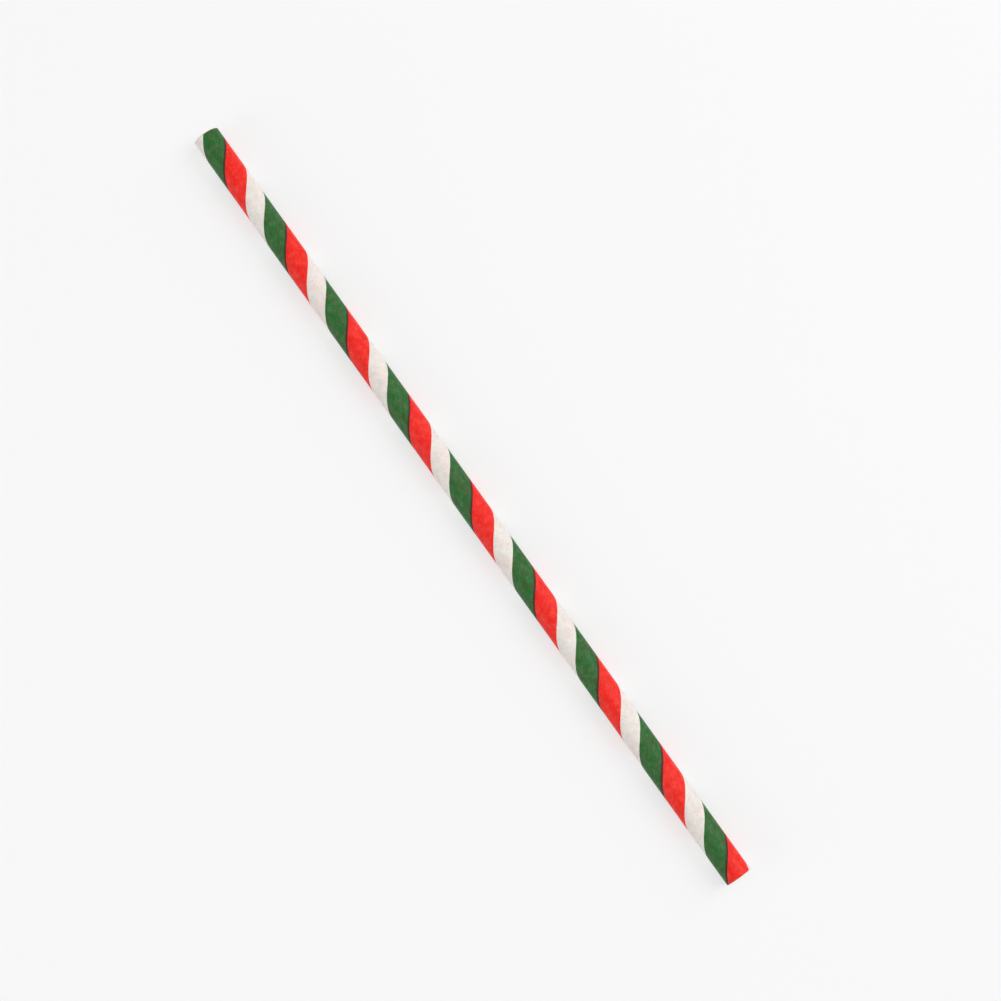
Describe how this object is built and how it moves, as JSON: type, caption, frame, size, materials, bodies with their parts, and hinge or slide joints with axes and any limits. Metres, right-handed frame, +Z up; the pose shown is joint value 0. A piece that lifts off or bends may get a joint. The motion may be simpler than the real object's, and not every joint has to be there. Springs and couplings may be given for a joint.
{
  "type": "paper drinking straw",
  "caption": "Straight round paper drinking straw, spirally wound, open at both ends, with red, white and green spiral stripes printed along it.",
  "frame": {"origin": "on the surface the straw lies on, under the middle of its length", "axes": "+X along the straw, +Z up from the surface to the top line of the straw"},
  "size_m": [0.197, 0.006, 0.006],
  "materials": {
    "printed_paper": "matte"
  },
  "bodies": {
    "root": {"straw": "printed_paper"}
  },
  "joints": []
}
